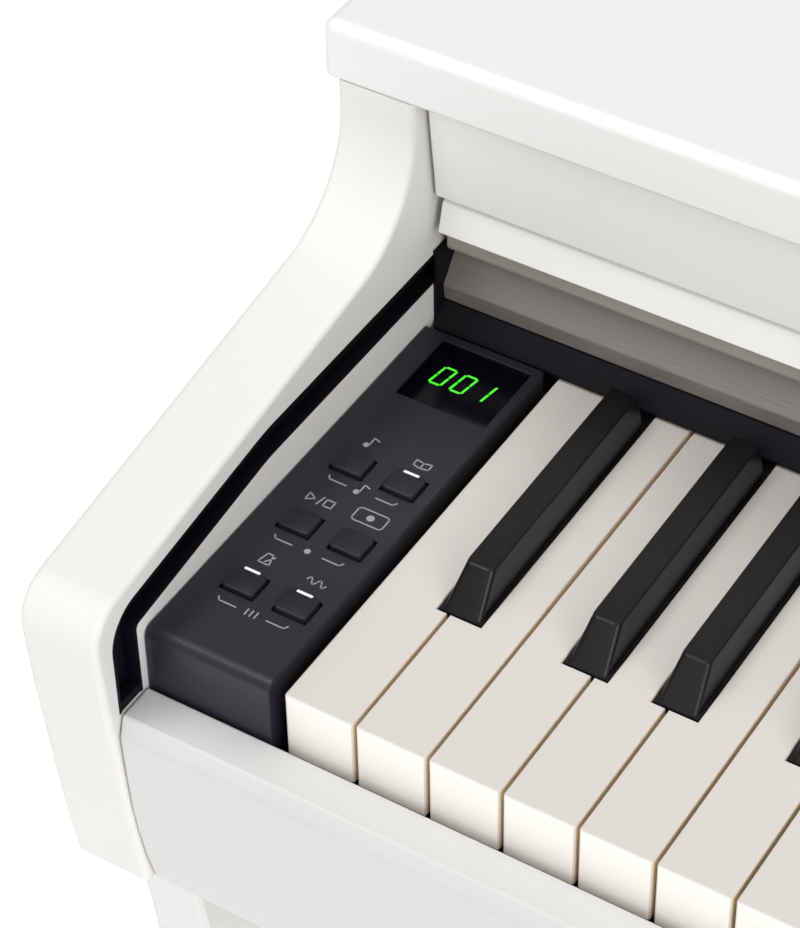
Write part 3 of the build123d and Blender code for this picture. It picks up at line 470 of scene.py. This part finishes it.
def smooth_by_angle(piece, degrees):
    """Shade smooth, but keep edges sharper than this angle crisp."""
    for face in piece.data.polygons:
        face.use_smooth = True
    piece.data.set_sharp_from_angle(angle=math.radians(degrees))


def even_normals(piece):
    """Let the large faces decide the shading, so that a flat face looks flat up to its rounded edge."""
    evening = piece.modifiers.new("even normals", "WEIGHTED_NORMAL")
    evening.keep_sharp = True
    evening.weight = 80


# %% [markdown]
# The radius is chosen part by part: about a third of a millimetre on the panel and the nameboard, about one on boards,
# and two on the legs. The limit angle leaves curved faces alone, so that only real edges are rounded.

# %% Ease the edges
SHARP_ANGLE = 32


def eased(node, radius, material):
    """A copy of a design part with rounded sharp edges, which stands for it."""
    shape = bmesh.new()
    shape.from_mesh(nodes[node].data)
    bmesh.ops.remove_doubles(shape, verts=shape.verts, dist=0.00001)
    bmesh.ops.dissolve_limit(shape, angle_limit=math.radians(0.5), verts=shape.verts, edges=shape.edges)
    piece = new_piece(node + "_eased", shape, material, node_body[node])
    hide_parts(node)
    smooth_by_angle(piece, SHARP_ANGLE)
    rounding = piece.modifiers.new("eased edges", "BEVEL")
    rounding.limit_method = "ANGLE"
    rounding.angle_limit = math.radians(SHARP_ANGLE)
    rounding.width = radius * MM
    rounding.segments = 2
    even_normals(piece)


for name, radius, material in (
    ("key_slip", 0.7, white_slip_painted_shade),
    ("upper_front_panel", 0.8, white_panel_painted_light),
    ("key_cover", 0.8, white_panel_painted_light),
    ("nameboard", 0.35, taupe),
    ("cover_grip", 0.35, grip_taupe_painted_light),
    ("stand_back_board", 1.0, white_long),
    ("pedal_board", 1.0, white_long),
    ("front_legs", 2.0, white_upright),
    ("side_panels", 1.2, white_upright),
    ("feet", 1.5, white_end),
    ("pedal_housing", 1.0, white_long),
    ("music_rest", 0.8, white_long),
    ("jack_box", 0.6, black_trim),
    ("headphone_hook", 0.6, steel),
    ("glides", 1.0, black_trim),
    ("control_panel", 0.3, charcoal),
    ("right_key_block", 0.3, charcoal),
):
    eased(name, radius, material)

# %% [markdown]
# Other parts already have the right shape, with their curves and small radii, and only need a finish. They keep the
# design's own mesh, because a copy would add nothing to it.

# %% Finishes for the parts that stay as designed
def clothe(material, *names):
    """Give design parts a finish, without touching their shape."""
    for name in names:
        if not nodes[name].material_slots:
            nodes[name].data.materials.append(material)
        for slot in nodes[name].material_slots:
            slot.material = material
    print(material.name, "on", ", ".join(names))


clothe(white_long, "top_board")
clothe(white_end, "left_arm", "right_arm")
clothe(raw_white, "keybed", "rear_panel")
clothe(black_trim, "key_back_rail", "cover_guides", "key_chassis", "speaker_grilles", "connector_plate",
       "adjuster_bolt")
clothe(smoked, "display_window")
clothe(circuit, "circuit_boards")
clothe(cone_paper, "speakers")
clothe(steel, "stand_screws", "cover_shaft", "pedal_rod", "music_rest_hinges", "music_rest_stay")
clothe(pedal_chrome, "soft_pedal", "middle_pedal", "damper_pedal")

# %% [markdown]
# ## Dark ends
# Small mouldings are rounded bars: a cube whose upright edges get one radius and whose upper rim gets a smaller one.
# Rounding the uprights first matters, because the rim then runs round the corners in one smooth line.

# %% Shape a rounded bar
ROUND = dict(profile=0.5, affect="EDGES", material=-1)


def rounded_bar(name, centre, size, corner, rim, material, body, segments=4):
    """A bar with rounded upright edges and a rounded upper rim."""
    shape = bmesh.new()
    bmesh.ops.create_cube(shape, size=1)
    bmesh.ops.scale(shape, verts=shape.verts, vec=[s * MM for s in size])
    uprights = [e for e in shape.edges if abs(e.verts[0].co.z - e.verts[1].co.z) > size[2] * MM / 2]
    bmesh.ops.bevel(shape, geom=uprights, offset=corner * MM, segments=segments, **ROUND)
    rim_edges = [e for e in shape.edges if all(v.co.z > size[2] * MM / 2 - 1e-7 for v in e.verts)]
    bmesh.ops.bevel(shape, geom=rim_edges, offset=rim * MM, segments=3, **ROUND)
    bmesh.ops.translate(shape, verts=shape.verts, vec=centre)
    piece = new_piece(name, shape, material, body)
    smooth_by_angle(piece, 35)
    return piece


print("bars are rounded twice: uprights, then rim")

# %% [markdown]
# Where the cover's guide meets the key slip, a black stopper closes its lower end. Beside the nameboard, a black end
# plate hides the gap to the arm. Both sit clear of the cover's rollers, and both come in pairs, mirrored left to right.

# %% Close the guide and the gap beside the nameboard
STOPPER_SIZE, STOPPER_INSET = (5.6, 11.4, 3.2), 3.0
PLATE_SIZE, PLATE_STANDOFF = (1.2, 19, 29), 0.7
arm_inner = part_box("left_arm")[1].x
for side, hand in ((-1, "left"), (1, "right")):
    face = abs(arm_inner) * side
    stopper_place = Vector((face + side * STOPPER_INSET * MM, back(-11.2), up(-16.6)))
    rounded_bar(f"guide_stopper_{hand}", stopper_place, STOPPER_SIZE, 0.4, 0.3, black_trim, node_body["cover_guides"])
    plate_place = Vector((face - side * PLATE_STANDOFF * MM, back(163.5), up(16.4)))
    rounded_bar(f"end_plate_{hand}", plate_place, PLATE_SIZE, 0.3, 0.3, black_trim, node_body["nameboard"])
print("arm's inner face at", round(arm_inner, 4))

# %% [markdown]
# ## White keys
# A black key doesn't stand just over the joint of two white ones: most are shifted a little, so that fingers fit
# between them. The shift depends on the note, so the black keys' places come from a short table by letter.

# %% Where the black keys stand
BLACK_SHIFT = {"A": 3.3, "C": -2.75, "D": 2.2, "F": -3.3, "G": 0.0}
WHITE_COUNT = 52
LETTERS = "ABCDEFG"
black_centre = {}
for number in range(WHITE_COUNT - 1):
    letter = LETTERS[number % len(LETTERS)]
    if letter in BLACK_SHIFT:
        black_centre[number] = KEYS_LEFT + (number + 1) * KEY_PITCH + BLACK_SHIFT[letter] * MM
print("white keys", WHITE_COUNT, "black keys", len(black_centre))

# %% [markdown]
# A white key is a rounded bar with a notch on one or both sides, where a black key stands. It could be a cube with
# pieces cut out by booleans, but those leave bad faces, so its outline is drawn from the key's width and the places
# of its black neighbours.

# %% Draw the outline of a white key
KEY_LENGTH = (a_high.y - a_low.y) / MM
CUT_WIDTH, CUT_FRONT = 14.8, 50.35


def white_outline(number):
    """Corners of a white key from above, anticlockwise from its front left."""
    left = KEYS_LEFT + number * KEY_PITCH + KEY_GAP / 2
    right_side = left + KEY_PITCH - KEY_GAP
    tail_left, tail_right = left, right_side
    if number - 1 in black_centre:
        tail_left = black_centre[number - 1] + CUT_WIDTH / 2 * MM
    if number in black_centre:
        tail_right = black_centre[number] - CUT_WIDTH / 2 * MM
    corners = [(left, back(0)), (right_side, back(0))]
    if tail_right != right_side:
        corners += [(right_side, back(CUT_FRONT)), (tail_right, back(CUT_FRONT))]
    corners += [(tail_right, back(KEY_LENGTH)), (tail_left, back(KEY_LENGTH))]
    if tail_left != left:
        corners += [(tail_left, back(CUT_FRONT)), (left, back(CUT_FRONT))]
    return corners


print("corners of the lowest white keys:", [len(white_outline(number)) for number in range(3)])

# %% [markdown]
# The outline is filled, extruded down and recalculated so that its faces look outward. Two bevels follow: a larger
# one on the front corners, and a small one along the whole upper rim. Keys that move together share one mesh, so
# each is made by itself and then added to it.

# %% Shape the keys
WHITE_DEPTH = (a_high.z - a_low.z) / MM
WHITE_CORNER, WHITE_RIM = 0.9, 0.55


def add_to(shape, own):
    """Add a finished key to the mesh of the keys that move with it."""
    part = bpy.data.meshes.new("key")
    own.to_mesh(part)
    own.free()
    shape.from_mesh(part)
    bpy.data.meshes.remove(part)


def moulded(node, shape, material, degrees):
    """Keys that move together, as one piece which stands for a design part."""
    piece = new_piece(node + "_moulded", shape, material, node_body[node])
    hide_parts(node)
    smooth_by_angle(piece, degrees)
    even_normals(piece)


def add_white_key(shape, number):
    """Add one white key: fill the outline, extrude it down and round the upper edges."""
    own = bmesh.new()
    outline = [own.verts.new((x, y, up(0))) for x, y in white_outline(number)]
    top = own.faces.new(outline)
    skirt = bmesh.ops.extrude_face_region(own, geom=[top])
    moved = [v for v in skirt["geom"] if isinstance(v, bmesh.types.BMVert)]
    bmesh.ops.translate(own, verts=moved, vec=(0, 0, -WHITE_DEPTH * MM))
    bmesh.ops.recalc_face_normals(own, faces=own.faces)
    front_corners = [
        e for e in own.edges
        if abs(e.verts[0].co.z - e.verts[1].co.z) > 1 * MM and max(v.co.y for v in e.verts) < back(1)
    ]
    bmesh.ops.bevel(own, geom=front_corners, offset=WHITE_CORNER * MM, segments=3, **ROUND)
    rim = [e for e in own.edges if all(abs(v.co.z - up(0)) < 1e-6 for v in e.verts)]
    bmesh.ops.bevel(own, geom=rim, offset=WHITE_RIM * MM, segments=3, **ROUND)
    add_to(shape, own)


print("a white key is", round(KEY_LENGTH, 1), "mm long and", round(WHITE_DEPTH, 1), "mm deep")

# %% [markdown]
# The seven lowest white keys move by themselves, so each is its own piece. The other 45 share one joint and one mesh.

# %% Make the white keys
def white_piece(node, numbers):
    """White keys that move together."""
    shape = bmesh.new()
    for number in numbers:
        add_white_key(shape, number)
    moulded(node, shape, ivory, 40)


SINGLE_WHITES = ("a0", "b0", "c1", "d1", "e1", "f1", "g1")
for number, note in enumerate(SINGLE_WHITES):
    white_piece(f"white_key_{note}", [number])
white_piece("white_keys_upper", range(len(SINGLE_WHITES), WHITE_COUNT))
print("white key pieces:", len(SINGLE_WHITES) + 1)

# %% [markdown]
# ## Black keys
# A black key's cap narrows upwards and slopes at the front like a roof. It starts as a cube: the upper corners are
# pulled in and the front ones pushed back. The two slanted edges get a large radius, which gives the top its rounded
# front, and the rim a small one that catches the light. A plain body below nearly fills the notch between the keys.

# %% Shape one black key
BLACK_FRONT, BLACK_BACK, BLACK_SLOPE = 51.5, 147.0, 10.3
BLACK_WIDTH, BLACK_TOP_WIDTH, BLACK_RISE, BLACK_DEPTH = 12.5, 9.0, 11.6, 20.0
FRONT_FALL, SLANT_CORNER, BLACK_RIM = 0.7, 1.9, 0.6
BASE_WIDTH, BASE_FRONT, BASE_DROP = 14.0, 51.1, 0.5


def add_black_key(shape, centre):
    """Add one black key: a tapered, rounded cap on a body that nearly fills its notch."""
    own = bmesh.new()
    made = bmesh.ops.create_cube(own, size=1)
    for vert in made["verts"]:
        is_top, is_front = vert.co.z > 0, vert.co.y < 0
        width = BLACK_TOP_WIDTH if is_top else BLACK_WIDTH
        vert.co.x = centre + math.copysign(width / 2 * MM, vert.co.x)
        front = BLACK_FRONT + (BLACK_SLOPE if is_top else 0)
        rise = BLACK_RISE - (FRONT_FALL if is_front else 0)
        vert.co.y = back(front if is_front else BLACK_BACK)
        vert.co.z = up(rise if is_top else -BASE_DROP)
    slanted = [
        e for e in own.edges
        if abs(e.verts[0].co.z - e.verts[1].co.z) > 5 * MM and e.verts[0].co.y < back(70)
    ]
    bmesh.ops.bevel(own, geom=slanted, offset=SLANT_CORNER * MM, segments=5, **ROUND)
    rim = [e for e in own.edges if min(v.co.z for v in e.verts) > up(BLACK_RISE - 1.5)]
    bmesh.ops.bevel(own, geom=rim, offset=BLACK_RIM * MM, segments=3, **ROUND)
    body = bmesh.ops.create_cube(own, size=1)
    body_size = Vector((BASE_WIDTH * MM, (KEY_LENGTH - BASE_FRONT) * MM, (BLACK_DEPTH - BASE_DROP) * MM))
    bmesh.ops.scale(own, verts=body["verts"], vec=body_size)
    middle = Vector((centre, back((KEY_LENGTH + BASE_FRONT) / 2), up(-(BLACK_DEPTH + BASE_DROP) / 2)))
    bmesh.ops.translate(own, verts=body["verts"], vec=middle)
    add_to(shape, own)


print("a black key rises", BLACK_RISE, "mm above the white ones")

# %% [markdown]
# The four lowest black keys move by themselves, like the white ones around them, and the other 32 move as a group.
# Their edges are kept crisper than the white keys', because a bright line on a black rim is what shows their shape.

# %% Make the black keys
def black_piece(node, group):
    """Black keys that move together."""
    shape = bmesh.new()
    for centre in group:
        add_black_key(shape, centre)
    moulded(node, shape, ebony, 30)


SINGLE_BLACKS = ("a_sharp_0", "c_sharp_1", "d_sharp_1", "f_sharp_1")
centres = [black_centre[number] for number in sorted(black_centre)]
for note, centre in zip(SINGLE_BLACKS, centres):
    black_piece(f"black_key_{note}", [centre])
black_piece("black_keys_upper", centres[len(SINGLE_BLACKS):])
print("black key pieces:", len(SINGLE_BLACKS) + 1)

# %% [markdown]
# ## Buttons and their lamps
# Each button is a soft rectangular cap, so it is a rounded bar with large corners, as high as the design part's cap.
# Three buttons carry a small white lamp along their rear edge.

# %% Shape the buttons
BUTTONS = ("demo_button", "lesson_button", "play_button", "record_button", "metronome_button", "sound_button",
           "power_button")
LIT_BUTTONS = ("lesson_button", "metronome_button", "sound_button")
CAP_WIDTH, CAP_LENGTH, CAP_CORNER, CAP_RIM = 11.0, 9.0, 1.6, 0.6
LAMP_SIZE = (5.3, 0.95, 0.5)
for name in BUTTONS:
    low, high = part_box(name)
    height = (high.z - low.z) / MM
    middle = (low + high) / 2
    cap = rounded_bar(name + "_cap", middle, (CAP_WIDTH, CAP_LENGTH, height), CAP_CORNER, CAP_RIM, button_black,
                      node_body[name])
    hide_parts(name)
    if name in LIT_BUTTONS:
        lamp_place = Vector((middle.x, middle.y + (CAP_LENGTH / 2 - 0.3) * MM, high.z - 0.15 * MM))
        rounded_bar(name + "_lamp", lamp_place, LAMP_SIZE, 0.3, 0.1, lamp_white, node_body[name],
                    segments=2)
print("buttons:", len(BUTTONS), "lamps:", len(LIT_BUTTONS))

# %% [markdown]
# ## The number display
# Three digits of seven slanted bars shine through the smoked window. A digit is a list of the bars that are lit,
# so any other number could be shown by changing one line. Each is a thin flat bar, and all are sheared like italics.

# %% Light the digits
SEGMENTS = {  # (centre across, centre up, runs across)
    "top": (0.5, 1.0, True),
    "middle": (0.5, 0.5, True),
    "bottom": (0.5, 0.0, True),
    "upper_left": (0.0, 0.75, False),
    "lower_left": (0.0, 0.25, False),
    "upper_right": (1.0, 0.75, False),
    "lower_right": (1.0, 0.25, False),
}
LIT = {
    "0": ("top", "bottom", "upper_left", "lower_left", "upper_right", "lower_right"),
    "1": ("upper_right", "lower_right"),
}
SHOWN, DIGIT_LEFTS, DIGIT_BASE = "001", (-30.6, -23.3, -16.4), 127.6
DIGIT_WIDTH, DIGIT_HEIGHT, STROKE, BAR_THICKNESS, SLANT = 4.1, 8.2, 0.75, 0.12, 0.16
bar_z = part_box("display_window")[1].z + 0.05 * MM
digits = bmesh.new()
for text, left in zip(SHOWN, DIGIT_LEFTS):
    for part in LIT[text]:
        across, high_part, flat = SEGMENTS[part]
        bar_x = KEYS_LEFT + (left + across * DIGIT_WIDTH) * MM
        place = Vector((bar_x, back(DIGIT_BASE + high_part * DIGIT_HEIGHT), bar_z))
        length, width = (DIGIT_WIDTH - STROKE, STROKE) if flat else (STROKE, DIGIT_HEIGHT / 2 - STROKE * 0.55)
        bar = bmesh.ops.create_cube(digits, size=1)
        bmesh.ops.scale(digits, verts=bar["verts"], vec=[s * MM for s in (length, width, BAR_THICKNESS)])
        bmesh.ops.translate(digits, verts=bar["verts"], vec=place)
for vert in digits.verts:
    vert.co.x += (vert.co.y - back(DIGIT_BASE)) * SLANT
new_piece("display_digits", digits, segment_green, node_body["display_window"])
print("digits lit:", SHOWN)

# %% [markdown]
# ## Printed marks
# The marks by the buttons are printed in pale grey. A print is modelled as a film a twentieth of a millimetre thick,
# so that it is real geometry and stays put from every side. Every mark is built from three things: a stroke, a round
# spot, and a path of strokes.

# %% Ways to print
PRINT = 0.05
LINE = 0.45
print_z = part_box("control_panel")[1].z + PRINT / 2 * MM
marks = bmesh.new()


def stroke(x0, y0, x1, y1):
    """A printed line between two places, in millimetres from the lowest key's left front corner."""
    start = Vector((KEYS_LEFT + x0 * MM, back(y0), print_z))
    end = Vector((KEYS_LEFT + x1 * MM, back(y1), print_z))
    along = end - start
    made = bmesh.ops.create_cube(marks, size=1)
    bmesh.ops.scale(marks, verts=made["verts"], vec=(along.length + LINE * MM * 0.6, LINE * MM, PRINT * MM))
    spin = Matrix.Rotation(math.atan2(along.y, along.x), 4, "Z")
    bmesh.ops.transform(marks, verts=made["verts"], matrix=spin)
    bmesh.ops.translate(marks, verts=made["verts"], vec=(start + end) / 2)


def dot(x, y, radius):
    """A printed round spot."""
    made = bmesh.ops.create_cone(marks, cap_ends=True, segments=16, radius1=radius * MM, radius2=radius * MM,
                                 depth=PRINT * MM)
    bmesh.ops.translate(marks, verts=made["verts"], vec=Vector((KEYS_LEFT + x * MM, back(y), print_z)))


def path(points, closed=False):
    """Strokes through several places."""
    ends = points[1:] + points[:1] if closed else points[1:]
    for (x0, y0), (x1, y1) in zip(points, ends):
        stroke(x0, y0, x1, y1)


print("printed lines are", LINE, "mm wide")

# %% [markdown]
# The signs are plain ones, with no words: a note, a book, play and stop, a dot in a frame for recording, a metronome
# and a wave. Each is a few strokes about its own middle, so it can be moved or used again as one thing. A bracket
# with its ends turned up ties each pair of buttons together.

# %% The signs
PAIR_MIDDLE = -22.0


def note_sign(x, y):
    dot(x - 1.2, y - 1.6, 1.0)
    path([(x - 0.4, y - 1.5), (x - 0.4, y + 2.2), (x + 1.6, y + 1.4)])


def book_sign(x, y):
    path([(x, y - 1.4), (x - 2.6, y - 0.8), (x - 2.6, y + 1.6), (x, y + 1.0)])
    path([(x, y + 1.0), (x + 2.6, y + 1.6), (x + 2.6, y - 0.8), (x, y - 1.4), (x, y + 1.0)])


def play_stop_sign(x, y):
    path([(x - 4.0, y - 1.6), (x - 4.0, y + 1.6), (x - 1.4, y)], closed=True)
    stroke(x, y - 1.8, x + 0.8, y + 1.8)
    path([(x + 2.0, y - 1.4), (x + 4.8, y - 1.4), (x + 4.8, y + 1.4), (x + 2.0, y + 1.4)], closed=True)


def record_sign(x, y):
    dot(x, y, 1.25)
    path([(x - 4.4, y - 2.8), (x + 4.4, y - 2.8), (x + 5.2, y - 2.0), (x + 5.2, y + 2.0), (x + 4.4, y + 2.8),
          (x - 4.4, y + 2.8), (x - 5.2, y + 2.0), (x - 5.2, y - 2.0)], closed=True)


def metronome_sign(x, y):
    path([(x - 1.9, y - 1.9), (x + 1.9, y - 1.9), (x + 0.9, y + 2.2), (x - 0.9, y + 2.2)], closed=True)
    stroke(x, y - 1.2, x + 2.0, y + 1.6)


def wave_sign(x, y):
    steps, span, height = 12, 6.4, 1.3
    turns = [2 * math.tau * step / steps for step in range(steps + 1)]
    path([(x - span / 2 + span * step / steps, y + height * math.sin(turn)) for step, turn in enumerate(turns)])


def bracket(y):
    for side in (-1, 1):
        inner, outer = PAIR_MIDDLE + side * 5.2, PAIR_MIDDLE + side * 11
        path([(inner, y), (outer, y), (outer + side * 0.8, y + 1.3)])


print("six signs and a bracket")

# %% [markdown]
# Each sign stands behind its button. The middle of each bracket carries one more mark, a note, a spot or three ticks,
# for what its pair of buttons does when both are pressed.

# %% Print on the panel
for sign, x, y in (
    (note_sign, -30.3, 95.2),
    (book_sign, -12.4, 94.4),
    (play_stop_sign, -30.6, 66.4),
    (record_sign, -13.6, 67.6),
    (metronome_sign, -30.3, 38.2),
    (wave_sign, -12.8, 37.6),
    (note_sign, PAIR_MIDDLE, 76.6),
):
    sign(x, y)
for bracket_y in (75.6, 46.6, 17.6):
    bracket(bracket_y)
dot(PAIR_MIDDLE, 46.8, 1.0)
for tick in (-1.6, 0, 1.6):
    stroke(PAIR_MIDDLE + tick, 16.6, PAIR_MIDDLE + tick, 19.0)
new_piece("panel_marks", marks, print_grey, node_body["control_panel"])
print("marks printed")

# %% [markdown]
# ## Close
# The box of what is shown is measured.

# %% Sizes and finish
low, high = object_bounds()
